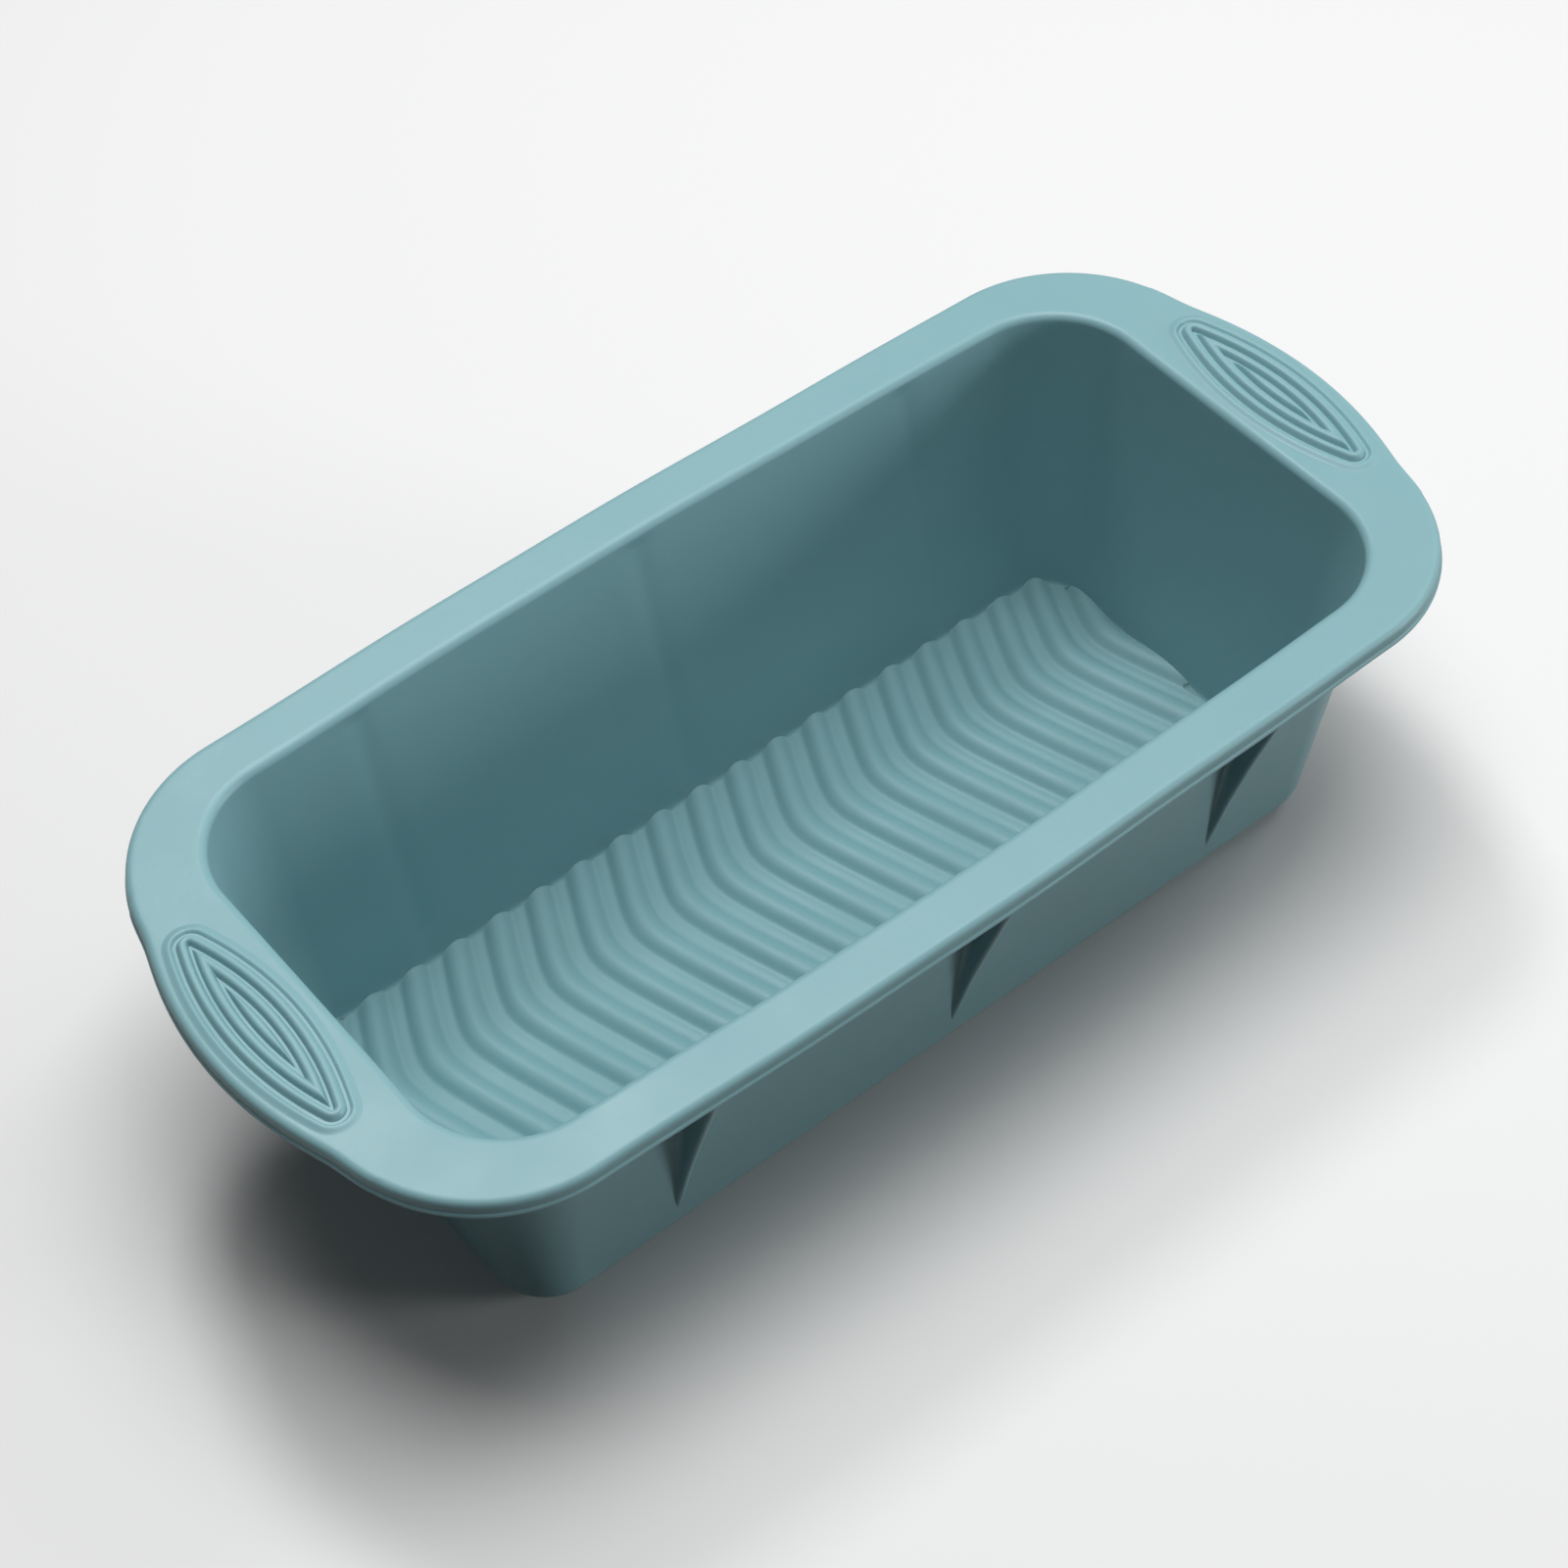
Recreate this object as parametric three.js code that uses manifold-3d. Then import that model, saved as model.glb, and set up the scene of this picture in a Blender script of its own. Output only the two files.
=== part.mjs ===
// Silicone soap mould: a rectangular loaf tray with a wide flat rim, a lens-shaped grip at each end,
// upright gussets under the long sides of the rim and a floor covered in bent ridges.
// Units are millimetres. +X runs along the length, +Y across, +Z up. The origin is the centre of the
// underside, which is the face the mould rests on.
//
// The real mould is one moulding. Here every region of it is a solid of its own, and neighbouring
// regions meet face to face or across the small seamGap.

import * as THREE from "three";
import { mergeVertices } from "three/addons/utils/BufferGeometryUtils.js";
import Module from "manifold-3d";

// ---------------------------------------------------------------- sizes

const height = 72.5;            // underside to the flat top of the rim

const openingLength = 226;      // clear opening at the top of the cavity
const openingWidth = 102.6;
const openingCorner = 20.3;     // plan radius of its corners
const sideBow = 2.6;            // how far the long sides swell outward at mid-length, at rim height

const baseLength = 205.7;       // outside of the walls at the underside
const baseWidth = 86;
const baseCorner = 11.2;
const baseRounding = 6;         // rounding between the walls and the underside

const wallThickness = 2.4;
const plateThickness = 1.6;     // bottom of the tray, under the ridged layer

const rimEndWidth = 17;         // rim beyond the opening at each short end
const rimSideWidth = 12;        // rim beyond the opening along each long side
const rimCorner = 34;
const rimThickness = 3.2;
const rimLipDrop = 1;           // the rim's outer edge hangs this much lower than its underside
const rimLipWidth = 3.4;
const rimBeadHeight = 1.4;      // a bead runs round the lower part of the edge
const rimBandInset = 0.4;       // the band above the bead is set back by this much
const rimEdgeRounding = 1.6;
const openingRounding = 1.6;    // rounding where the rim turns down into the cavity

const almondPitch = 2.8;        // spacing of the nested almond ridges on each grip
const almondRidgeCount = 3;     // around the core
const almondSharpLength = 23.7; // from the middle of a grip to the tips of its outermost pointed groove
const almondSharpGroove = 1.5;  // that groove lies this many spacings out from the middle
const almondRidgeHeight = 0.8;
const almondRidgeShare = 0.86;  // part of the spacing that a ridge fills; the rest is groove
const almondShoulderPlace = 0.7; // a ridge's rounded shoulder: part of its half width and of its height
const almondShoulderRise = 0.75;
const almondCoreFlat = 0.3;     // part of the core's width that is flat on top
const padHeight = 0.5;          // raised almond that the ridges stand on
const padSlope = 0.2;           // its side leans in by this much
const padMargin = 0.1;          // flat rim left on either side of the pad
const shoulderLength = 2.3;     // the grip's bulge starts this far beyond the ends of the pad

const gussetCount = 3;          // on each long side
const gussetSpacing = 69;
const gussetThickness = 2;
const gussetFoot = 10;          // height above the underside where a gusset runs out
const gussetHollow = 0.6;       // how far its free edge curves in
const gussetTopMargin = 0.3;    // its top stops this far short of the flat under the rim's bead

const floorRidgePitch = 10.6;   // one tall ridge and one low ridge
const floorRidgeHeight = 2.1;
const floorLowRidgeHeight = 0.4;
const floorRidgeShare = 0.66;   // part of the pitch that the tall ridge fills
const floorRidgeFullness = 0.7; // below 1, the tall ridge has steeper flanks and a broader top
const floorLayer = 0.3;         // thickness of the ridged layer at the bottom of a groove
const ridgeStart = -1.2;        // groove nearest the middle of the length, at the bend
const ridgeBendPlace = 18;      // each ridge bends once in plan, this far behind the centre line
const ridgeBendSoftness = 6;
const ridgeBackLean = 0.5;      // its drift towards +X for each step back from the bend
const ridgeFrontLean = 0.32;    // and for each step forward from the bend

const seamGap = 0.25;           // clearance between regions that stand side by side

// ---------------------------------------------------------------- sampling

const cornerSteps = 7;
const longSideSteps = 12;
const shortSideSteps = 12;
const roundingSteps = 4;
const almondSteps = 9;
const almondTipSteps = 4;
const tallRidgeSamples = 6;     // across one tall floor ridge
const lowRidgeSamples = 3;
const bendSteps = 14;           // along one floor ridge

// ---------------------------------------------------------------- colours

const siliconeColour = 0x93b9c4;
const cavityColour = 0x7fa6b0;

const rimLength = openingLength + 2 * rimEndWidth;
const rimWidth = openingWidth + 2 * rimSideWidth;
const rimUnderside = height - rimThickness;
const almondHalfWidth = almondPitch * almondRidgeCount;
const almondSharpWidth = almondPitch * almondSharpGroove;
const padHalfWidth = almondHalfWidth + almondPitch / 2 + padSlope;
const padHalfLength = almondSharpLength + padHalfWidth - almondSharpWidth;
// The grip bulges past the end of the rim far enough for the pad to lie between the rounded edges.
const gripFlat = 2 * (padHalfWidth + padMargin);
const gripReach = gripFlat + openingRounding + rimEdgeRounding - rimEndWidth;
const gripHalfWidth = padHalfLength + shoulderLength;

// ---------------------------------------------------------------- helpers

const lerp = THREE.MathUtils.lerp;

function makeMesh(name, geometry, colour = siliconeColour) {
  const material = new THREE.MeshStandardMaterial({ color: colour, roughness: 0.55, metalness: 0 });
  const mesh = new THREE.Mesh(geometry, material);
  mesh.name = name;
  return mesh;
}

// Points spaced evenly from a to b, leaving b out.
function evenly(a, b, steps) {
  return Array.from({ length: steps }, (_, i) => lerp(a, b, i / steps));
}

// Rounded rectangle whose long sides swell outward by bow; counter-clockwise, seen from above.
function trayOutline({ length, width, corner, bow }) {
  const cx = length / 2 - corner;
  const cy = width / 2 - corner;
  const points = [];
  const quarter = Math.PI / 2;
  const corners = [[1, 1], [-1, 1], [-1, -1], [1, -1]];
  corners.forEach(([sx, sy], k) => {
    for (const angle of evenly(k * quarter, (k + 1) * quarter, cornerSteps)) {
      points.push([sx * cx + corner * Math.cos(angle), sy * cy + corner * Math.sin(angle)]);
    }
    const alongX = k % 2 === 0;
    const steps = alongX ? longSideSteps : shortSideSteps;
    for (const share of evenly(sx, -sx, steps)) {
      if (alongX) points.push([share * cx, sy * (cy + corner)]);
    }
    for (const share of evenly(sy, -sy, steps)) {
      if (!alongX) points.push([sx * (cx + corner), share * cy]);
    }
  });
  return points.map(([x, y]) => {
    const mid = 1 - Math.min(1, Math.abs(x) / (length / 2)) ** 2;
    const lean = y / (width / 2);
    return [x, y + lean * bow * mid];
  });
}

// Outline sizes grown outward by a margin.
function grow(sizes, margin) {
  return {
    length: sizes.length + 2 * margin,
    width: sizes.width + 2 * margin,
    corner: sizes.corner + margin,
    bow: sizes.bow,
  };
}

// Inside of the walls at a height above the underside: the walls lean out evenly on the way up.
function cavityAt(z) {
  const share = z / height;
  return {
    length: lerp(baseLength - 2 * wallThickness, openingLength, share),
    width: lerp(baseWidth - 2 * wallThickness, openingWidth, share),
    corner: lerp(baseCorner - wallThickness, openingCorner, share),
    bow: lerp(0, sideBow, share),
  };
}

function ringAt(outline, z) {
  return outline.map(([x, y]) => new THREE.Vector3(x, y, z));
}

// Skin over a stack of equal-length rings. The stack either closes on itself or is capped at both ends.
function loft(rings, closed) {
  const count = rings[0].length;
  const positions = rings.flat().flatMap((p) => [p.x, p.y, p.z]);
  const index = [];
  const bands = closed ? rings.length : rings.length - 1;
  for (let r = 0; r < bands; r++) {
    const here = r * count;
    const next = ((r + 1) % rings.length) * count;
    for (let i = 0; i < count; i++) {
      const j = (i + 1) % count;
      index.push(here + i, here + j, next + j, here + i, next + j, next + i);
    }
  }
  if (!closed) {
    addCap(positions, index, rings[0], 0, true);
    addCap(positions, index, rings.at(-1), (rings.length - 1) * count, false);
  }
  const geometry = new THREE.BufferGeometry();
  geometry.setAttribute("position", new THREE.Float32BufferAttribute(positions, 3));
  geometry.setIndex(index);
  geometry.computeVertexNormals();
  return geometry;
}

function addCap(positions, index, ring, offset, facingDown) {
  const flat = ring.map((p) => new THREE.Vector2(p.x, p.y));
  for (const [a, b, c] of THREE.ShapeUtils.triangulateShape(flat, [])) {
    const triangle = facingDown ? [a, c, b] : [a, b, c];
    index.push(...triangle.map((i) => offset + i));
  }
}

// Larger of two lengths, with the corner where they cross eased over a short distance.
function easedMax(a, b, ease) {
  return (a + b + Math.hypot(a - b, ease)) / 2;
}

// ---------------------------------------------------------------- tray walls and bottom plate

function makeTray() {
  const outsideAt = (z) => grow(cavityAt(z), wallThickness);
  const rings = [];
  for (let i = 0; i <= roundingSteps; i++) {
    const angle = (i / roundingSteps) * Math.PI / 2;
    const inset = baseRounding * (1 - Math.sin(angle));
    const z = baseRounding * (1 - Math.cos(angle));
    rings.push(ringAt(trayOutline(grow(outsideAt(z), -inset)), z));
  }
  rings.push(ringAt(trayOutline(outsideAt(rimUnderside)), rimUnderside));
  rings.push(ringAt(trayOutline(cavityAt(rimUnderside)), rimUnderside));
  rings.push(ringAt(trayOutline(cavityAt(plateThickness)), plateThickness));
  return makeMesh("tray_walls", loft(rings, false));
}

// ---------------------------------------------------------------- rim with its two grip bulges

// Outer edge of the rim. Between the shoulders of a grip the edge follows the grip's arc instead.
function rimOutline(inset) {
  const sizes = grow({ length: rimLength, width: rimWidth, corner: rimCorner, bow: sideBow }, -inset);
  const arcRadius = (gripHalfWidth ** 2 + gripReach ** 2) / (2 * gripReach);
  const arcCentre = rimLength / 2 + gripReach - arcRadius;
  const shoulderEase = 1.2;
  return trayOutline(sizes).map(([x, y]) => {
    const reach = arcCentre + Math.sqrt((arcRadius - inset) ** 2 - y ** 2);
    const atEnd = Math.abs(y) < gripHalfWidth + rimEndWidth / 2 && Math.abs(x) > openingLength / 2;
    return atEnd ? [Math.sign(x) * easedMax(Math.abs(x), reach, shoulderEase), y] : [x, y];
  });
}

function makeRim() {
  const rings = [];
  const lipBottom = rimUnderside - rimLipDrop;
  rings.push(ringAt(trayOutline(cavityAt(rimUnderside)), rimUnderside));
  rings.push(ringAt(rimOutline(rimLipWidth + rimLipDrop), rimUnderside));
  rings.push(ringAt(rimOutline(rimLipWidth), lipBottom));
  rings.push(ringAt(rimOutline(rimBeadHeight / 2), lipBottom));
  rings.push(ringAt(rimOutline(0), lipBottom + rimBeadHeight / 2));
  rings.push(ringAt(rimOutline(rimBandInset), lipBottom + rimBeadHeight));
  for (let i = 0; i <= roundingSteps; i++) {
    const angle = (i / roundingSteps) * Math.PI / 2;
    const inset = rimBandInset + rimEdgeRounding * (1 - Math.cos(angle));
    rings.push(ringAt(rimOutline(inset), height - rimEdgeRounding * (1 - Math.sin(angle))));
  }
  for (let i = 0; i <= roundingSteps; i++) {
    const angle = (i / roundingSteps) * Math.PI / 2;
    const z = height - openingRounding * (1 - Math.cos(angle));
    const margin = openingRounding * (1 - Math.sin(angle));
    rings.push(ringAt(trayOutline(grow(cavityAt(z), margin)), z));
  }
  return makeMesh("rim", loft(rings, true));
}

// ---------------------------------------------------------------- almond ridges on the grips

// Two arcs that meet in a point at each end. Almonds inside the outermost pointed one share its arc
// centres. Those outside it stand off from it evenly, so their tips are round.
function almondOutline(halfWidth, centreX) {
  const centreOffset = (almondSharpLength ** 2 - almondSharpWidth ** 2) / (2 * almondSharpWidth);
  const sharpWidth = Math.min(halfWidth, almondSharpWidth);
  const halfAngle = Math.acos(centreOffset / (centreOffset + sharpWidth));
  const tipRadius = halfWidth - sharpWidth;
  const tipSteps = tipRadius > 0 ? almondTipSteps : 0;
  const radius = centreOffset + halfWidth;
  const points = [];
  for (const side of [1, -1]) {
    for (const angle of evenly(-halfAngle, halfAngle, almondSteps)) {
      const x = radius * Math.cos(angle) - centreOffset;
      points.push([centreX + side * x, side * radius * Math.sin(angle)]);
    }
    for (const angle of evenly(halfAngle, Math.PI - halfAngle, tipSteps)) {
      const y = almondSharpLength + tipRadius * Math.sin(angle);
      points.push([centreX + side * tipRadius * Math.cos(angle), side * y]);
    }
  }
  return points;
}

const almondCentre = openingLength / 2 + openingRounding + padMargin + padHalfWidth;
const padTop = height + padHeight;

function makeGripPad(name, side) {
  const rings = [
    ringAt(almondOutline(padHalfWidth, side * almondCentre), height),
    ringAt(almondOutline(padHalfWidth - padSlope, side * almondCentre), padTop),
  ];
  return makeMesh(name, loft(rings, false));
}

function makeAlmondRidge(name, side, order) {
  const crest = almondPitch * order;
  const half = almondPitch * almondRidgeShare / 2;
  const rings = [
    [1, 0],
    [almondShoulderPlace, almondShoulderRise],
    [0, 1],
    [-almondShoulderPlace, almondShoulderRise],
    [-1, 0],
  ].map(([across, up]) => {
    const outline = almondOutline(crest + across * half, side * almondCentre);
    return ringAt(outline, padTop + up * almondRidgeHeight);
  });
  return makeMesh(name, loft(rings, true));
}

function makeAlmondCore(name, side) {
  const half = almondPitch * almondRidgeShare / 2;
  const rings = [
    [1, 0],
    [almondShoulderPlace, almondShoulderRise],
    [almondCoreFlat, 1],
  ].map(([across, up]) => {
    const outline = almondOutline(across * half, side * almondCentre);
    return ringAt(outline, padTop + up * almondRidgeHeight);
  });
  return makeMesh(name, loft(rings, false));
}

// ---------------------------------------------------------------- gussets under the long sides

// Half width of an outline that is bowed along its length, at a place x away from its middle.
function halfWidthAt(sizes, x) {
  return sizes.width / 2 + sizes.bow * (1 - (x / (sizes.length / 2)) ** 2);
}

function makeGusset(name, side, x) {
  const rimSizes = { length: rimLength, width: rimWidth, bow: sideBow };
  const wallFace = (z) => halfWidthAt(grow(cavityAt(z), wallThickness), x) + seamGap;
  const top = rimUnderside - seamGap;
  const underLip = top - rimLipDrop;
  const rimEdge = halfWidthAt(rimSizes, x);
  const lipStart = rimEdge - rimLipWidth - seamGap * Math.tan(Math.PI / 8);
  const reach = rimEdge - rimBeadHeight / 2 - gussetTopMargin;
  const toe = 0.4;
  const foot = [wallFace(gussetFoot) + toe, gussetFoot];
  const middle = [(reach + foot[0]) / 2 - 2 * gussetHollow, (underLip + gussetFoot) / 2];
  const shape = new THREE.Shape();
  shape.moveTo(wallFace(top), top);
  shape.lineTo(wallFace(gussetFoot), gussetFoot);
  shape.lineTo(foot[0], foot[1]);
  shape.quadraticCurveTo(middle[0], middle[1], reach, underLip);
  shape.lineTo(lipStart, underLip);
  shape.lineTo(lipStart - rimLipDrop, top);
  shape.closePath();
  const geometry = new THREE.ExtrudeGeometry(shape, {
    depth: gussetThickness, bevelEnabled: false, curveSegments: 8,
  });
  // Stand the drawn profile up: its first axis points away from the wall, its second points up.
  const away = new THREE.Vector3(0, side, 0);
  const up = new THREE.Vector3(0, 0, 1);
  const along = new THREE.Vector3().crossVectors(away, up);
  geometry.applyMatrix4(new THREE.Matrix4().makeBasis(away, up, along));
  geometry.translate(x - side * gussetThickness / 2, 0, 0);
  return makeMesh(name, geometry);
}

// ---------------------------------------------------------------- ridged floor layer

// Height of the ridges at a share of the pitch, counted from the groove on the -X side of the tall one.
function ridgeProfile(share) {
  if (share < floorRidgeShare) {
    const tall = Math.max(0, Math.sin(Math.PI * share / floorRidgeShare));
    return floorRidgeHeight * tall ** floorRidgeFullness;
  }
  const low = Math.sin(Math.PI * (share - floorRidgeShare) / (1 - floorRidgeShare));
  return floorLowRidgeHeight * Math.max(0, low);
}

// How far a ridge has drifted towards +X at a place y across the floor: two straight legs and a soft bend.
function ridgeDrift(y) {
  const fromBend = y - ridgeBendPlace;
  const lean = fromBend > 0 ? ridgeBackLean : ridgeFrontLean;
  return ridgeStart + lean * (Math.hypot(fromBend, ridgeBendSoftness) - ridgeBendSoftness);
}

// A block larger than the floor whose top carries the bent ridges.
function ridgedBlock() {
  const spanY = baseWidth / 2;
  const spanX = baseLength / 2 + Math.max(ridgeDrift(-spanY), ridgeDrift(spanY));
  const ridges = Math.ceil(spanX / floorRidgePitch);
  const shares = [
    ...evenly(0, floorRidgeShare, tallRidgeSamples),
    ...evenly(floorRidgeShare, 1, lowRidgeSamples),
  ];
  const rows = [];
  for (let r = 0; r <= bendSteps; r++) {
    const y = lerp(-spanY, spanY, r / bendSteps);
    const drift = ridgeDrift(y);
    const row = [];
    for (let ridge = -ridges; ridge < ridges; ridge++) {
      for (const share of shares) {
        const along = (ridge + share) * floorRidgePitch;
        const top = plateThickness + floorLayer + ridgeProfile(share);
        row.push(new THREE.Vector3(along + drift, y, top));
      }
    }
    const first = row[0];
    const last = row.at(-1);
    row.push(new THREE.Vector3(last.x, y, plateThickness));
    row.push(new THREE.Vector3(first.x, y, plateThickness));
    rows.push(row);
  }
  return loftSections(rows);
}

// Skin over upright sections that follow one another across the width.
function loftSections(rows) {
  const count = rows[0].length;
  const positions = rows.flat().flatMap((p) => [p.x, p.y, p.z]);
  const index = [];
  for (let r = 0; r < rows.length - 1; r++) {
    for (let i = 0; i < count; i++) {
      const j = (i + 1) % count;
      const [a, b, c, d] = [r * count + i, r * count + j, (r + 1) * count + j, (r + 1) * count + i];
      index.push(a, b, c, a, c, d);
    }
  }
  const outline = rows[0].map((p) => new THREE.Vector2(p.x, p.z));
  const lastRow = (rows.length - 1) * count;
  for (const [a, b, c] of THREE.ShapeUtils.triangulateShape(outline, [])) {
    index.push(a, b, c);
    index.push(lastRow + a, lastRow + c, lastRow + b);
  }
  const geometry = new THREE.BufferGeometry();
  geometry.setAttribute("position", new THREE.Float32BufferAttribute(positions, 3));
  geometry.setIndex(index);
  return geometry;
}

const wasm = await Module();
wasm.setup();

function toManifold(geometry) {
  const bare = geometry.clone();
  bare.deleteAttribute("normal");
  bare.deleteAttribute("uv");
  const merged = mergeVertices(bare, 1e-4);
  return new wasm.Manifold(new wasm.Mesh({
    numProp: 3,
    vertProperties: merged.attributes.position.array,
    triVerts: Uint32Array.from(merged.index.array),
  }));
}

function toGeometry(manifold) {
  const result = manifold.getMesh();
  const geometry = new THREE.BufferGeometry();
  geometry.setAttribute("position", new THREE.Float32BufferAttribute(result.vertProperties, 3));
  geometry.setIndex([...result.triVerts]);
  return geometry.toNonIndexed();
}

function makeRidgedFloor() {
  const tallest = plateThickness + floorLayer + floorRidgeHeight + 1;
  const footprint = trayOutline(grow(cavityAt(plateThickness), -seamGap));
  const edge = loft([ringAt(footprint, plateThickness), ringAt(footprint, tallest)], false);
  const floor = toManifold(ridgedBlock()).intersect(toManifold(edge));
  const geometry = toGeometry(floor);
  geometry.computeVertexNormals();
  return makeMesh("ridged_floor", geometry, cavityColour);
}

// ---------------------------------------------------------------- assembly

const mould = new THREE.Group();
mould.name = "silicone_soap_mould";
mould.add(makeTray(), makeRim(), makeRidgedFloor());

for (const [label, side] of [["left", -1], ["right", 1]]) {
  mould.add(makeGripPad(`grip_pad_${label}`, side));
  for (let order = 1; order <= almondRidgeCount; order++) {
    mould.add(makeAlmondRidge(`grip_ridge_${label}_${order}`, side, order));
  }
  mould.add(makeAlmondCore(`grip_core_${label}`, side));
}

for (const [label, side] of [["front", -1], ["back", 1]]) {
  for (let i = 0; i < gussetCount; i++) {
    const x = (i - (gussetCount - 1) / 2) * gussetSpacing;
    mould.add(makeGusset(`gusset_${label}_${i + 1}`, side, x));
  }
}

export default mould;
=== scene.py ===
# Silicone soap mould: the looks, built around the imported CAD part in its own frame.
# +X runs along the length, +Y across, +Z up, and the origin is the centre of the underside.
# Sizes below are in millimetres; meshes are scaled to metres when they are made.
import math
from collections import namedtuple

import bpy
import numpy as np
from mathutils import Matrix, Vector


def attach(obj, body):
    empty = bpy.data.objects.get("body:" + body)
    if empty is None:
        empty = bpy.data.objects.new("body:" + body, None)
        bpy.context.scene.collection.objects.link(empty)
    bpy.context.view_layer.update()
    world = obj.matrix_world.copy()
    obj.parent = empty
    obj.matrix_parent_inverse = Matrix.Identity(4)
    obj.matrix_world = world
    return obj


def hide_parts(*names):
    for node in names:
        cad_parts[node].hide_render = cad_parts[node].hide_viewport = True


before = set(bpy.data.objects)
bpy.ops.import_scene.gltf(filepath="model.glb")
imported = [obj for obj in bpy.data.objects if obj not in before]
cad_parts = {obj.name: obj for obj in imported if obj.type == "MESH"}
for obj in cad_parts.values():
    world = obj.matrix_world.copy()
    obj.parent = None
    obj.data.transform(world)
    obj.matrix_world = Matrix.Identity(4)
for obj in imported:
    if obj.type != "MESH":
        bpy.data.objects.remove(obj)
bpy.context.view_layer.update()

MM = 0.001

# ------------------------------------------------------------------ sizes of the mould

HEIGHT = 72.5
OPENING_LENGTH = 226.0
OPENING_WIDTH = 102.6
OPENING_CORNER = 20.3
SIDE_BOW = 2.6
BASE_LENGTH = 205.7
BASE_WIDTH = 86.0
BASE_CORNER = 11.2
BASE_ROUNDING = 6.0
WALL = 2.4
PLATE = 1.6

RIM_END_WIDTH = 17.0
RIM_SIDE_WIDTH = 12.0
RIM_CORNER = 34.0
RIM_THICKNESS = 3.2
RIM_LIP_DROP = 1.0
RIM_LIP_WIDTH = 3.4
RIM_BEAD_HEIGHT = 1.4
RIM_BAND_INSET = 0.4
RIM_EDGE_ROUNDING = 1.6
OPENING_ROUNDING = 1.6
RIM_LENGTH = OPENING_LENGTH + 2 * RIM_END_WIDTH
RIM_WIDTH = OPENING_WIDTH + 2 * RIM_SIDE_WIDTH
RIM_UNDERSIDE = HEIGHT - RIM_THICKNESS

ALMOND_PITCH = 2.8
ALMOND_RIDGES = 3
ALMOND_SHARP_LENGTH = 23.7
ALMOND_SHARP_GROOVE = 1.5
ALMOND_SHARP_WIDTH = ALMOND_SHARP_GROOVE * ALMOND_PITCH
ALMOND_RIDGE_HEIGHT = 0.8
ALMOND_HALF_WIDTH = ALMOND_PITCH * ALMOND_RIDGES
PAD_HEIGHT = 0.5
PAD_SLOPE = 0.2
PAD_HALF_WIDTH = ALMOND_HALF_WIDTH + ALMOND_PITCH / 2 + PAD_SLOPE
PAD_HALF_LENGTH = ALMOND_SHARP_LENGTH + PAD_HALF_WIDTH - ALMOND_SHARP_WIDTH
PAD_MARGIN = 0.1
ALMOND_CENTRE = OPENING_LENGTH / 2 + OPENING_ROUNDING + PAD_MARGIN + PAD_HALF_WIDTH
SHOULDER_LENGTH = 2.3
GRIP_HALF_WIDTH = PAD_HALF_LENGTH + SHOULDER_LENGTH
GRIP_REACH = ALMOND_CENTRE + PAD_HALF_WIDTH + PAD_MARGIN + RIM_EDGE_ROUNDING - RIM_LENGTH / 2

GUSSET_PLACES = (-69.0, 0.0, 69.0)
GUSSET_THICKNESS = 2.0
GUSSET_FOOT = 10.0
GUSSET_HOLLOW = 0.6
GUSSET_TOP_MARGIN = 0.3

RIDGE_PITCH = 10.6
RIDGE_HEIGHT = 2.1
LOW_RIDGE_HEIGHT = 0.4
RIDGE_SHARE = 0.66
RIDGE_FULLNESS = 0.7
RIDGE_LAYER = 0.3
RIDGE_START = -1.2
BEND_PLACE = 18.0
BEND_SOFTNESS = 6.0
BACK_LEAN = 0.50
FRONT_LEAN = 0.32

# ------------------------------------------------------------------ outlines

Sizes = namedtuple("Sizes", "length width corner bow")

CORNER_STEPS = 60
LONG_STEPS = 380
SHORT_STEPS = 130
SMALLEST_CORNER = 0.5


def lerp(a, b, share):
    return a + (b - a) * share


def grow(sizes, margin):
    """The same outline, larger all round by margin."""
    corner = max(sizes.corner + margin, SMALLEST_CORNER)
    return Sizes(sizes.length + 2 * margin, sizes.width + 2 * margin, corner, sizes.bow)


def cavity_at(z):
    """Inside of the walls at height z above the underside."""
    share = z / HEIGHT
    return Sizes(
        lerp(BASE_LENGTH - 2 * WALL, OPENING_LENGTH, share),
        lerp(BASE_WIDTH - 2 * WALL, OPENING_WIDTH, share),
        lerp(BASE_CORNER - WALL, OPENING_CORNER, share),
        lerp(0.0, SIDE_BOW, share),
    )


def outside_at(z):
    return grow(cavity_at(z), WALL)


def tray_outline(sizes):
    """Rounded rectangle whose long sides swell outward, as an (n, 2) array going round counter-clockwise."""
    cx = sizes.length / 2 - sizes.corner
    cy = sizes.width / 2 - sizes.corner
    pieces = []
    for quarter, (sx, sy) in enumerate([(1, 1), (-1, 1), (-1, -1), (1, -1)]):
        start = quarter * math.pi / 2
        angle = np.linspace(start, start + math.pi / 2, CORNER_STEPS, endpoint=False)
        pieces.append(np.stack([
            sx * cx + sizes.corner * np.cos(angle),
            sy * cy + sizes.corner * np.sin(angle),
        ], axis=1))
        if quarter % 2 == 0:
            share = np.linspace(sx, -sx, LONG_STEPS, endpoint=False)
            side = np.stack([share * cx, np.full(LONG_STEPS, sy * (cy + sizes.corner))], axis=1)
        else:
            share = np.linspace(sy, -sy, SHORT_STEPS, endpoint=False)
            side = np.stack([np.full(SHORT_STEPS, sx * (cx + sizes.corner)), share * cy], axis=1)
        pieces.append(side)
    points = np.concatenate(pieces)
    middle = 1 - np.minimum(1, np.abs(points[:, 0]) / (sizes.length / 2)) ** 2
    points[:, 1] += points[:, 1] / (sizes.width / 2) * sizes.bow * middle
    return points


def eased_max(a, b, ease):
    return (a + b + np.hypot(a - b, ease)) / 2


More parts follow.
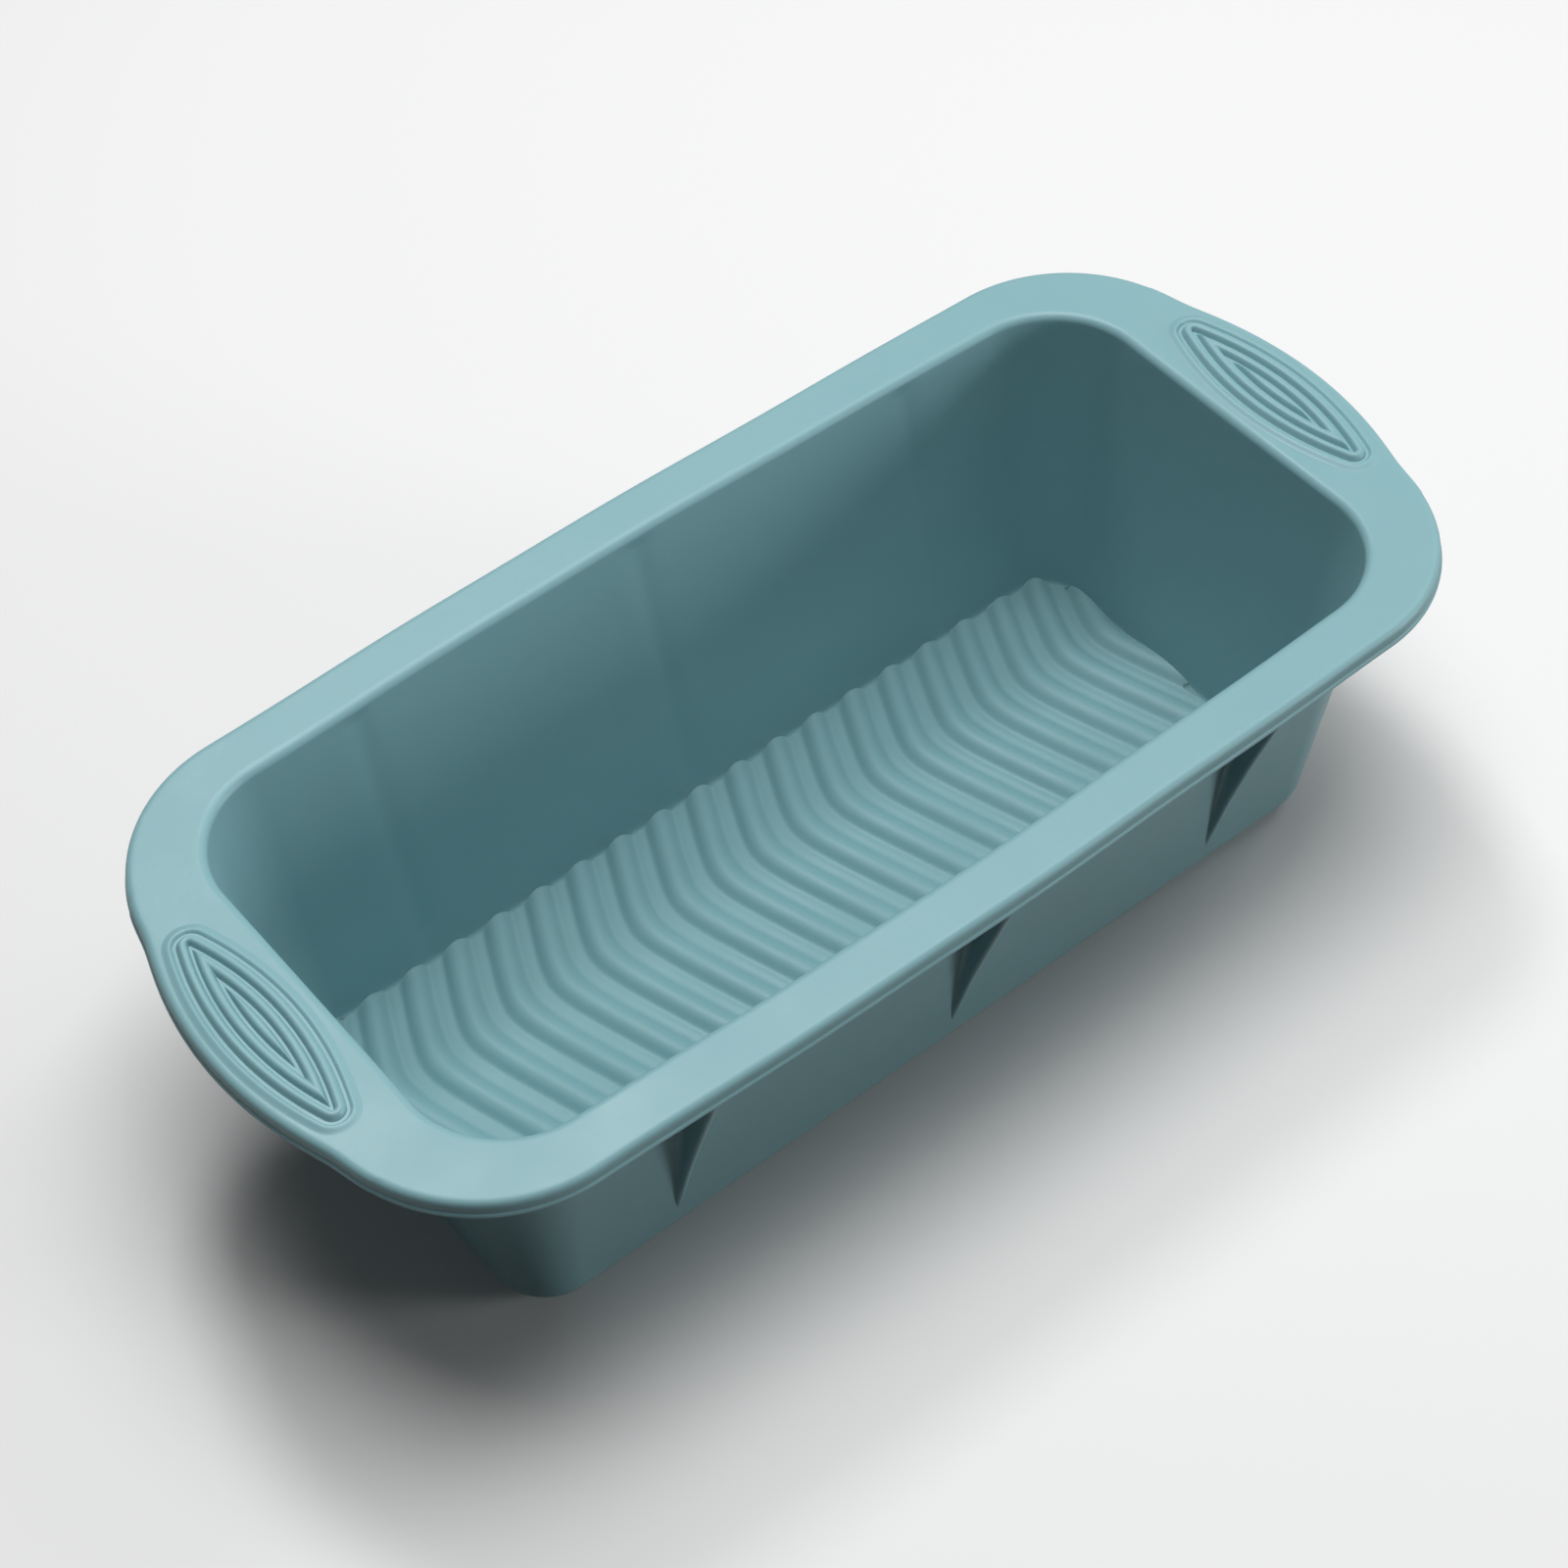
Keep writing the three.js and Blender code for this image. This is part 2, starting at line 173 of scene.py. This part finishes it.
def rim_outline(inset):
    """Outer edge of the rim, pulled in by inset, with the arc of a grip at each end."""
    shoulder_ease = 1.2
    points = tray_outline(grow(Sizes(RIM_LENGTH, RIM_WIDTH, RIM_CORNER, SIDE_BOW), -inset))
    arc_radius = (GRIP_HALF_WIDTH ** 2 + GRIP_REACH ** 2) / (2 * GRIP_REACH)
    arc_centre = RIM_LENGTH / 2 + GRIP_REACH - arc_radius
    x, y = points[:, 0], points[:, 1]
    near_end = np.abs(y) < GRIP_HALF_WIDTH + RIM_END_WIDTH / 2
    near_end &= np.abs(x) > OPENING_LENGTH / 2
    reach = arc_centre + np.sqrt(np.maximum(0, (arc_radius - inset) ** 2 - y ** 2))
    points[:, 0] = np.where(near_end, np.sign(x) * eased_max(np.abs(x), reach, shoulder_ease), x)
    return points


def half_width_at(sizes, x):
    """Half the width of a bowed outline, x away from its middle."""
    return sizes.width / 2 + sizes.bow * (1 - (x / (sizes.length / 2)) ** 2)


def at_height(outline, z):
    return np.column_stack([outline, np.full(len(outline), z)])


def quarter_turn(steps):
    """Angles from 0 to a quarter turn, both included."""
    return np.linspace(0, math.pi / 2, steps + 1)


# ------------------------------------------------------------------ soft unevenness of the moulding


def rim_sag(x, y):
    """Slow rise and fall of the soft rim, which isn't quite flat."""
    along = 0.16 * np.sin(x / 31.0 + 0.7) * np.cos(y / 40.0)
    across = 0.10 * np.sin(y / 19.0 - x / 57.0)
    return along + across


def wall_wander(x, z):
    """How far a wall stands out of true, growing towards the rim."""
    return 0.22 * (z / HEIGHT) * np.sin(x / 24.0 + z / 31.0) + 0.10 * np.sin(x / 9.5 - z / 13.0)


# ------------------------------------------------------------------ mesh making


def make_object(name, vertices, faces):
    """A smooth-shaded mesh object from millimetre positions."""
    mesh = bpy.data.meshes.new(name)
    mesh.from_pydata((np.asarray(vertices) * MM).tolist(), [], faces)
    mesh.update()
    mesh.validate()
    mesh.shade_smooth()
    made = bpy.data.objects.new(name, mesh)
    bpy.context.scene.collection.objects.link(made)
    return made


def band_faces(ring_count, ring_length):
    """Quads between neighbouring rings, which run counter-clockwise seen from above."""
    faces = []
    for r in range(ring_count - 1):
        here = r * ring_length
        there = here + ring_length
        for i in range(ring_length):
            j = (i + 1) % ring_length
            faces.append((here + i, here + j, there + j, there + i))
    return faces


def loft(name, rings):
    """A closed skin over a stack of rings, capped at both ends."""
    count = len(rings[0])
    faces = band_faces(len(rings), count)
    faces.append(tuple(range(count - 1, -1, -1)))
    top = (len(rings) - 1) * count
    faces.append(tuple(range(top, top + count)))
    return make_object(name, np.concatenate(rings), faces)


def raised_sheet(name, x, y, z, floor_z, taper=0.0):
    """A closed block under a grid of heights: x, y and z are (rows, columns), rows running along +Y.

    The block's underside is smaller than its top by the share taper.
    """
    rows, columns = x.shape
    top = np.stack([x, y, z], axis=-1).reshape(-1, 3)
    index = np.arange(rows * columns).reshape(rows, columns)
    faces = []
    for r in range(rows - 1):
        for c in range(columns - 1):
            faces.append((index[r, c], index[r, c + 1], index[r + 1, c + 1], index[r + 1, c]))
    rim = np.concatenate([index[0, :], index[1:, -1], index[-1, -2::-1], index[-2:0:-1, 0]])
    skirt = top[rim].copy()
    skirt[:, :2] *= 1 - taper
    skirt[:, 2] = floor_z
    first = len(top)
    count = len(rim)
    for i in range(count):
        j = (i + 1) % count
        faces.append((rim[j], rim[i], first + i, first + j))
    faces.append(tuple(range(first + count - 1, first - 1, -1)))
    faces = [tuple(int(v) for v in face) for face in faces]
    return make_object(name, np.concatenate([top, skirt]), faces)


# ------------------------------------------------------------------ walls and rim, one skin


def underside_rings():
    flat_edge = grow(outside_at(0), -BASE_ROUNDING)
    insets = (33.0, 22.0, 11.0, 0.6)
    return [at_height(tray_outline(grow(flat_edge, -inset)), 0.0) for inset in insets]


def outer_wall_rings():
    rings = []
    for angle in quarter_turn(10):
        z = BASE_ROUNDING * (1 - math.cos(angle))
        inset = BASE_ROUNDING * (1 - math.sin(angle))
        rings.append(at_height(tray_outline(grow(outside_at(z), -inset)), z))
    fillet = 1.8
    for z in np.linspace(BASE_ROUNDING + 2, RIM_UNDERSIDE - fillet, 26):
        rings.append(at_height(tray_outline(outside_at(z)), z))
    for angle in quarter_turn(6)[1:]:
        z = RIM_UNDERSIDE - fillet * (1 - math.sin(angle))
        margin = fillet * (1 - math.cos(angle))
        rings.append(at_height(tray_outline(grow(outside_at(z), margin)), z))
    return rings


def rim_rings():
    rings = []
    lip_bottom = RIM_UNDERSIDE - RIM_LIP_DROP
    step = 0.5 * RIM_LIP_DROP
    inner_lip = RIM_LIP_WIDTH + RIM_LIP_DROP
    rings.append(at_height(rim_outline(inner_lip + step), RIM_UNDERSIDE))
    for angle in quarter_turn(5):
        z = RIM_UNDERSIDE - step * (1 - math.cos(angle))
        rings.append(at_height(rim_outline(inner_lip - step * math.sin(angle)), z))
    for angle in quarter_turn(5):
        z = lip_bottom + step * (1 - math.sin(angle))
        rings.append(at_height(rim_outline(inner_lip - step - step * (1 - math.cos(angle))), z))
    bead = RIM_BEAD_HEIGHT / 2
    for angle in np.linspace(-math.pi / 2, math.radians(65), 14):
        z = lip_bottom + bead * (1 + math.sin(angle))
        rings.append(at_height(rim_outline(bead * (1 - math.cos(angle))), z))
    band_top = HEIGHT - RIM_EDGE_ROUNDING
    for z in np.linspace(lip_bottom + RIM_BEAD_HEIGHT + 0.05, band_top, 4)[:-1]:
        rings.append(at_height(rim_outline(RIM_BAND_INSET), z))
    for angle in quarter_turn(10):
        z = band_top + RIM_EDGE_ROUNDING * math.sin(angle)
        inset = RIM_BAND_INSET + RIM_EDGE_ROUNDING * (1 - math.cos(angle))
        rings.append(at_height(rim_outline(inset), z))
    edge = rim_outline(RIM_BAND_INSET + RIM_EDGE_ROUNDING)
    mouth = tray_outline(grow(cavity_at(HEIGHT), OPENING_ROUNDING))
    for share in np.linspace(0, 1, 18)[1:-1]:
        rings.append(at_height(lerp(edge, mouth, share), HEIGHT))
    for angle in quarter_turn(10):
        z = HEIGHT - OPENING_ROUNDING * (1 - math.cos(angle))
        margin = OPENING_ROUNDING * (1 - math.sin(angle))
        rings.append(at_height(tray_outline(grow(cavity_at(z), margin)), z))
    return rings


def inner_wall_rings():
    rings = []
    fillet = 1.5
    for z in np.linspace(HEIGHT - OPENING_ROUNDING - 1.2, PLATE + fillet, 44):
        rings.append(at_height(tray_outline(cavity_at(z)), z))
    for angle in quarter_turn(5)[1:]:
        z = PLATE + fillet * (1 - math.sin(angle))
        margin = -fillet * (1 - math.cos(angle))
        rings.append(at_height(tray_outline(grow(cavity_at(z), margin)), z))
    rings.append(at_height(tray_outline(grow(cavity_at(PLATE), -fillet - 0.6)), PLATE))
    return rings


def soften(rings, inner_from):
    """Lets the walls wander, sinks a faint line opposite each gusset and lets the rim sag."""
    sink_depth, sink_width, sink_rise = 0.35, 3.0, 12.0
    wander_rise, side_width, rim_depth = 20.0, 30.0, 12.0
    for order, ring in enumerate(rings):
        x, y, z = ring[:, 0].copy(), ring[:, 1].copy(), ring[:, 2].copy()
        above_foot = np.clip((z - BASE_ROUNDING) / wander_rise, 0, 1)
        side = np.clip(np.abs(y) / side_width, 0, 1) * np.sign(y)
        ring[:, 1] += side * above_foot * wall_wander(x, z)
        if order >= inner_from:
            for place in GUSSET_PLACES:
                line = np.exp(-((x - place) / sink_width) ** 2)
                ring[:, 1] += side * sink_depth * line * np.clip(z / sink_rise, 0, 1)
        near_rim = np.clip((z - HEIGHT + rim_depth) / rim_depth, 0, 1)
        ring[:, 2] += near_rim * rim_sag(x, y)
    return rings


def build_body():
    outside = underside_rings() + outer_wall_rings()
    rim = rim_rings()
    rings = soften(outside + rim + inner_wall_rings(), len(outside) + len(rim))
    return loft("mould_walls_and_rim", rings)


# ------------------------------------------------------------------ floor ridges


def ridge_profile(distance):
    """A tall ridge with steep flanks, then a low ridge, in each pitch."""
    phase = distance / RIDGE_PITCH
    share = phase - np.floor(phase)
    tall = np.sin(math.pi * np.minimum(share / RIDGE_SHARE, 1))
    low = np.sin(math.pi * np.maximum(share - RIDGE_SHARE, 0) / (1 - RIDGE_SHARE))
    tall = RIDGE_HEIGHT * np.maximum(0, tall) ** RIDGE_FULLNESS
    return tall + LOW_RIDGE_HEIGHT * np.maximum(0, low)


def softened_profile(distance):
    """The ridge profile with its valleys and crests rounded over a short distance."""
    spread = 0.6
    shifts = np.linspace(-2 * spread, 2 * spread, 7)
    weights = np.exp(-0.5 * (shifts / spread) ** 2)
    total = sum(weight * ridge_profile(distance + shift) for weight, shift in zip(weights, shifts))
    return total / weights.sum()


def ridge_drift(y):
    """How far a ridge has drifted towards +X at a place y: two straight legs and a soft bend."""
    from_bend = y - BEND_PLACE
    lean = np.where(from_bend > 0, BACK_LEAN, FRONT_LEAN)
    return RIDGE_START + lean * (np.hypot(from_bend, BEND_SOFTNESS) - BEND_SOFTNESS)


def build_floor():
    buried = 0.6
    footprint = grow(cavity_at(PLATE), buried)
    columns, rows = 900, 150
    straight = footprint.width / 2 - footprint.corner
    y = np.linspace(-footprint.width / 2, footprint.width / 2, rows)[:, None]
    into_corner = np.maximum(0, np.abs(y) - straight)
    end = footprint.length / 2 - footprint.corner
    end = end + np.sqrt(np.maximum(0, footprint.corner ** 2 - into_corner ** 2))
    x = np.linspace(-1, 1, columns)[None, :] * end
    y = np.broadcast_to(y, x.shape)
    unevenness = 0.08 * np.sin(x / 14.0) * np.cos(y / 11.0)
    z = PLATE + RIDGE_LAYER + softened_profile(x - ridge_drift(y)) + unevenness
    # The skirt tapers to keep it inside the walls where their foot is rounded.
    skirt_depth, skirt_taper = 0.3, 0.03
    return raised_sheet("floor_ridges", x, y, z, PLATE - skirt_depth, taper=skirt_taper)


# ------------------------------------------------------------------ grip relief


def smoothstep(low, high, value):
    t = np.clip((value - low) / (high - low), 0, 1)
    return t * t * (3 - 2 * t)


# Depth and width of the grooves between the ridges, from the middle of a grip outward.
GROOVES = ((1.3, 0.50), (1.2, 0.50), (0.9, 0.60))
ALMOND_ARC_OFFSET = (ALMOND_SHARP_LENGTH ** 2 - ALMOND_SHARP_WIDTH ** 2) / (2 * ALMOND_SHARP_WIDTH)
ALMOND_TIP_ANGLE = math.atan2(ALMOND_SHARP_LENGTH, ALMOND_ARC_OFFSET)


def almond_place(across, along):
    """Half width of the nested almond that runs through each point; wide ones have round tips."""
    outward = np.abs(across) + ALMOND_ARC_OFFSET
    on_arc = np.hypot(outward, along) - ALMOND_ARC_OFFSET
    past_tip = ALMOND_SHARP_WIDTH + np.hypot(across, np.abs(along) - ALMOND_SHARP_LENGTH)
    return np.where(np.arctan2(np.abs(along), outward) > ALMOND_TIP_ANGLE, past_tip, on_arc)


def almond_reach(half_width, along):
    """How far an almond wider than the pointed one reaches across, at a place along the grip."""
    radius = ALMOND_ARC_OFFSET + half_width
    tip_radius = half_width - ALMOND_SHARP_WIDTH
    on_arc = np.sqrt(np.maximum(0, radius ** 2 - along ** 2)) - ALMOND_ARC_OFFSET
    beyond = np.abs(along) - ALMOND_SHARP_LENGTH
    on_tip = np.sqrt(np.maximum(0, tip_radius ** 2 - beyond ** 2))
    return np.where(np.abs(along) > radius * math.sin(ALMOND_TIP_ANGLE), on_tip, on_arc)


def build_grip(name, side):
    """Raised almond with nested ridges. Its border dips just under the rim's top, so no edge shows."""
    rows, columns = 320, 240
    narrowest = 0.15
    y = np.sin(np.linspace(-math.pi / 2, math.pi / 2, rows))[:, None] * PAD_HALF_LENGTH
    half = np.maximum(almond_reach(PAD_HALF_WIDTH, y), narrowest)
    local = np.linspace(-1, 1, columns)[None, :] * half
    y = np.broadcast_to(y, local.shape)
    place = almond_place(local, y)
    full = PAD_HEIGHT + ALMOND_RIDGE_HEIGHT
    crown, outer_fall = 0.30, 0.5
    relief = full - crown * (0.5 - 0.5 * np.cos(2 * math.pi * place / ALMOND_PITCH))
    relief *= 1 - outer_fall * smoothstep(2 * ALMOND_PITCH, ALMOND_HALF_WIDTH, place)
    relief *= smoothstep(PAD_HALF_WIDTH - 0.1, ALMOND_HALF_WIDTH - 0.6, place)
    for order, (depth, width) in enumerate(GROOVES):
        middle = ALMOND_PITCH * (order + 0.5)
        relief -= depth * np.exp(-((place - middle) / width) ** 2)
    x = side * ALMOND_CENTRE + local
    sunk, skirt_depth = 0.04, 1.4
    z = HEIGHT + rim_sag(x, y) - sunk + relief
    return raised_sheet(name, x, y, z, HEIGHT - skirt_depth)


# ------------------------------------------------------------------ gussets


def concave(distance, radius):
    """Extra thickness of a concave fillet at a distance from the face it runs into."""
    gone = np.clip(distance / radius, 0, 1)
    return radius * (1 - np.sqrt(np.maximum(0, 1 - (1 - gone) ** 2)))


def build_gusset(name, side, x):
    """A thin upright web whose root flares into the wall and whose free edge is rounded."""
    fillet, edge_rounding = 1.3, 0.9
    buried = 1.3
    levels, samples = 60, 34
    rim_sizes = Sizes(RIM_LENGTH, RIM_WIDTH, RIM_CORNER, SIDE_BOW)
    wall_top = half_width_at(outside_at(RIM_UNDERSIDE), x)
    top_reach = half_width_at(rim_sizes, x) - RIM_BEAD_HEIGHT / 2 - GUSSET_TOP_MARGIN - wall_top
    rings = []
    for level in np.linspace(0, 1, levels):
        z = lerp(GUSSET_FOOT - 3, RIM_UNDERSIDE + 0.8, level)
        rise = np.clip((z - GUSSET_FOOT + 3) / (RIM_UNDERSIDE - GUSSET_FOOT + 3), 0, 1)
        hollow = 4 * GUSSET_HOLLOW * rise * (1 - rise)
        reach = lerp(-0.5, top_reach, rise) - hollow * min(1, 3 * rise)
        wall = half_width_at(outside_at(z), x) + wall_wander(x, z)
        reach = max(reach, -0.4)
        distance = lerp(-buried, reach, np.sin(np.linspace(0, math.pi / 2, samples)))
        root = concave(np.maximum(distance, 0), fillet) * min(1, max(reach, 0) / 3)
        under_rim = concave(max(0, RIM_UNDERSIDE - z), fillet)
        half = GUSSET_THICKNESS / 2 + np.maximum(root, under_rim)
        gone = np.clip((distance - reach + edge_rounding) / edge_rounding, 0, 1)
        half = half * np.sqrt(np.maximum(0, 1 - gone ** 2)) + 0.01
        right = np.column_stack([x + half, wall + distance])
        left = np.column_stack([x - half, wall + distance])[::-1]
        loop = np.concatenate([right, left])
        loop[:, 1] *= side
        if side < 0:
            loop = loop[::-1]
        rings.append(at_height(loop, z))
    return loft(name, rings)


# ------------------------------------------------------------------ silicone


def silicone(name, base, roughness):
    """Satin silicone: soft colour drift, uneven sheen, fine moulded grain and a painted highlight on convex
    edges.
    """
    material = bpy.data.materials.new(name)
    material.use_nodes = True
    nodes = material.node_tree.nodes
    links = material.node_tree.links
    shader = nodes["Principled BSDF"]
    shader.inputs["IOR"].default_value = 1.41
    shader.inputs["Subsurface Weight"].default_value = 0.12
    shader.inputs["Subsurface Radius"].default_value = (0.35, 0.8, 1.0)
    shader.inputs["Subsurface Scale"].default_value = 0.002
    place = nodes.new("ShaderNodeTexCoord")

    drift = nodes.new("ShaderNodeTexNoise")
    drift.inputs["Scale"].default_value = 16.0
    drift.inputs["Detail"].default_value = 3.0
    links.new(place.outputs["Object"], drift.inputs["Vector"])
    tint = nodes.new("ShaderNodeMix")
    tint.data_type = "RGBA"
    tint.inputs["A"].default_value = (base[0] * 0.94, base[1] * 0.97, base[2] * 0.98, 1)
    tint.inputs["B"].default_value = (base[0] * 1.06, base[1] * 1.03, base[2] * 1.02, 1)
    links.new(drift.outputs["Fac"], tint.inputs["Factor"])

    # Painted highlight: convex edges, found by pointiness, are made paler to stand in for light catching the
    # rounded edges.
    geometry = nodes.new("ShaderNodeNewGeometry")
    edge = nodes.new("ShaderNodeMapRange")
    edge.inputs["From Min"].default_value = 0.50
    edge.inputs["From Max"].default_value = 0.62
    edge.inputs["To Max"].default_value = 0.22
    links.new(geometry.outputs["Pointiness"], edge.inputs["Value"])
    painted_edge_highlight = nodes.new("ShaderNodeMix")
    painted_edge_highlight.data_type = "RGBA"
    painted_edge_highlight.inputs["B"].default_value = (base[0] * 1.5, base[1] * 1.25, base[2] * 1.2, 1)
    links.new(edge.outputs["Result"], painted_edge_highlight.inputs["Factor"])
    links.new(tint.outputs["Result"], painted_edge_highlight.inputs["A"])
    links.new(painted_edge_highlight.outputs["Result"], shader.inputs["Base Color"])

    smear = nodes.new("ShaderNodeTexNoise")
    smear.inputs["Scale"].default_value = 42.0
    smear.inputs["Detail"].default_value = 5.0
    links.new(place.outputs["Object"], smear.inputs["Vector"])
    sheen = nodes.new("ShaderNodeMapRange")
    sheen.inputs["From Min"].default_value = 0.3
    sheen.inputs["From Max"].default_value = 0.7
    sheen.inputs["To Min"].default_value = roughness - 0.06
    sheen.inputs["To Max"].default_value = roughness + 0.08
    links.new(smear.outputs["Fac"], sheen.inputs["Value"])
    links.new(sheen.outputs["Result"], shader.inputs["Roughness"])

    grain = nodes.new("ShaderNodeTexNoise")
    grain.inputs["Scale"].default_value = 1400.0
    grain.inputs["Detail"].default_value = 4.0
    links.new(place.outputs["Object"], grain.inputs["Vector"])
    ripple = nodes.new("ShaderNodeTexNoise")
    ripple.inputs["Scale"].default_value = 90.0
    ripple.inputs["Detail"].default_value = 2.0
    links.new(place.outputs["Object"], ripple.inputs["Vector"])
    fine = nodes.new("ShaderNodeBump")
    fine.inputs["Strength"].default_value = 0.25
    fine.inputs["Distance"].default_value = 0.00008
    links.new(grain.outputs["Fac"], fine.inputs["Height"])
    broad = nodes.new("ShaderNodeBump")
    broad.inputs["Strength"].default_value = 0.35
    broad.inputs["Distance"].default_value = 0.0003
    links.new(ripple.outputs["Fac"], broad.inputs["Height"])
    links.new(fine.outputs["Normal"], broad.inputs["Normal"])
    links.new(broad.outputs["Normal"], shader.inputs["Normal"])
    return material


def plain(name, colour, roughness):
    material = bpy.data.materials.new(name)
    material.use_nodes = True
    shader = material.node_tree.nodes["Principled BSDF"]
    shader.inputs["Base Color"].default_value = (*colour, 1)
    shader.inputs["Roughness"].default_value = roughness
    return material


# ------------------------------------------------------------------ put the pieces together

outside_silicone = silicone("silicone", (0.22, 0.405, 0.437), 0.42)
# A darker copy of the same silicone for the floor ridges: painted shade for the cavity floor, which gets
# less light than the rim. It is also a little rougher.
shaded_floor_silicone = silicone("silicone_inside", (0.172, 0.335, 0.360), 0.5)


def place_piece(piece, material, slot, *stands_for):
    piece.data.materials.append(material)
    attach(piece, "root")
    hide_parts(*stands_for)


place_piece(build_body(), outside_silicone, "silicone", "tray_walls", "rim")
place_piece(build_floor(), shaded_floor_silicone, "silicone_inside", "ridged_floor")
for label, side in (("left", -1), ("right", 1)):
    ridges = [f"grip_ridge_{label}_{order}" for order in range(1, ALMOND_RIDGES + 1)]
    grip = build_grip(f"grip_relief_{label}", side)
    place_piece(grip, outside_silicone, "silicone", f"grip_pad_{label}", f"grip_core_{label}", *ridges)
for label, side in (("front", -1), ("back", 1)):
    for order, place in enumerate(GUSSET_PLACES, start=1):
        gusset = build_gusset(f"web_{label}_{order}", side, place)
        place_piece(gusset, outside_silicone, "silicone", f"gusset_{label}_{order}")

# ------------------------------------------------------------------ studio


def build_stage():
    bpy.ops.mesh.primitive_plane_add(size=6.0, location=(0, 0, 0))
    ground = bpy.context.object
    ground.name = "studio_floor"
    # The floor throws no diffuse light back up onto the walls, as with black cards under a set.
    ground.visible_diffuse = False
    ground.data.materials.append(plain("studio_paper", (0.80, 0.80, 0.80), 0.9))


def build_world():
    """Dim light from all round. Where the floor ends, the camera sees a pale backdrop instead."""
    world = bpy.data.worlds.new("studio")
    world.use_nodes = True
    nodes = world.node_tree.nodes
    links = world.node_tree.links
    dim = nodes["Background"]
    dim.inputs["Color"].default_value = (0.95, 0.98, 1.0, 1)
    dim.inputs["Strength"].default_value = 0.06
    backdrop = nodes.new("ShaderNodeBackground")
    backdrop.inputs["Color"].default_value = (0.86, 0.86, 0.86, 1)
    seen = nodes.new("ShaderNodeLightPath")
    either = nodes.new("ShaderNodeMixShader")
    links.new(seen.outputs["Is Camera Ray"], either.inputs["Fac"])
    links.new(dim.outputs["Background"], either.inputs[1])
    links.new(backdrop.outputs["Background"], either.inputs[2])
    links.new(either.outputs["Shader"], nodes["World Output"].inputs["Surface"])
    bpy.context.scene.world = world


def add_softbox(name, place, target, size, power):
    lamp = bpy.data.lights.new(name, "AREA")
    lamp.shape = "RECTANGLE"
    lamp.size = size[0]
    lamp.size_y = size[1]
    lamp.energy = power
    holder = bpy.data.objects.new(name, lamp)
    holder.location = place
    direction = Vector(target) - Vector(place)
    holder.rotation_euler = direction.to_track_quat("-Z", "Y").to_euler()
    bpy.context.scene.collection.objects.link(holder)


def add_camera(target, azimuth, elevation, distance, roll, lens):
    a, e = math.radians(azimuth), math.radians(elevation)
    away = Vector((math.cos(e) * math.cos(a), math.cos(e) * math.sin(a), math.sin(e)))
    camera = bpy.data.cameras.new("camera")
    camera.lens = lens
    camera.sensor_width = 36.0
    holder = bpy.data.objects.new("camera", camera)
    place = Vector(target) + away * distance
    turn = (-away).to_track_quat("-Z", "Y").to_matrix().to_4x4()
    twist = Matrix.Rotation(math.radians(roll), 4, "Z")
    holder.matrix_world = Matrix.Translation(place) @ turn @ twist
    bpy.context.scene.collection.objects.link(holder)
    bpy.context.scene.camera = holder


build_stage()
add_softbox("key", (0.16, 0.08, 1.40), (0, 0, 0.03), (0.9, 0.9), 15.4)
add_softbox("right", (0.90, -0.10, 0.95), (0, 0, 0.05), (0.5, 0.5), 1.8)
add_softbox("back", (0.20, 0.64, 1.19), (-0.1, -0.03, 0.07), (0.25, 0.25), 5.0)
add_softbox("side", (0.95, -1.00, 0.26), (0, 0, 0.04), (0.4, 0.3), 6.4)
build_world()
bpy.context.scene.view_settings.view_transform = "Standard"
add_camera((0.0001, 0.0079, 0.036), -125.36, 50.18, 0.7089, -4.02, 80.4)
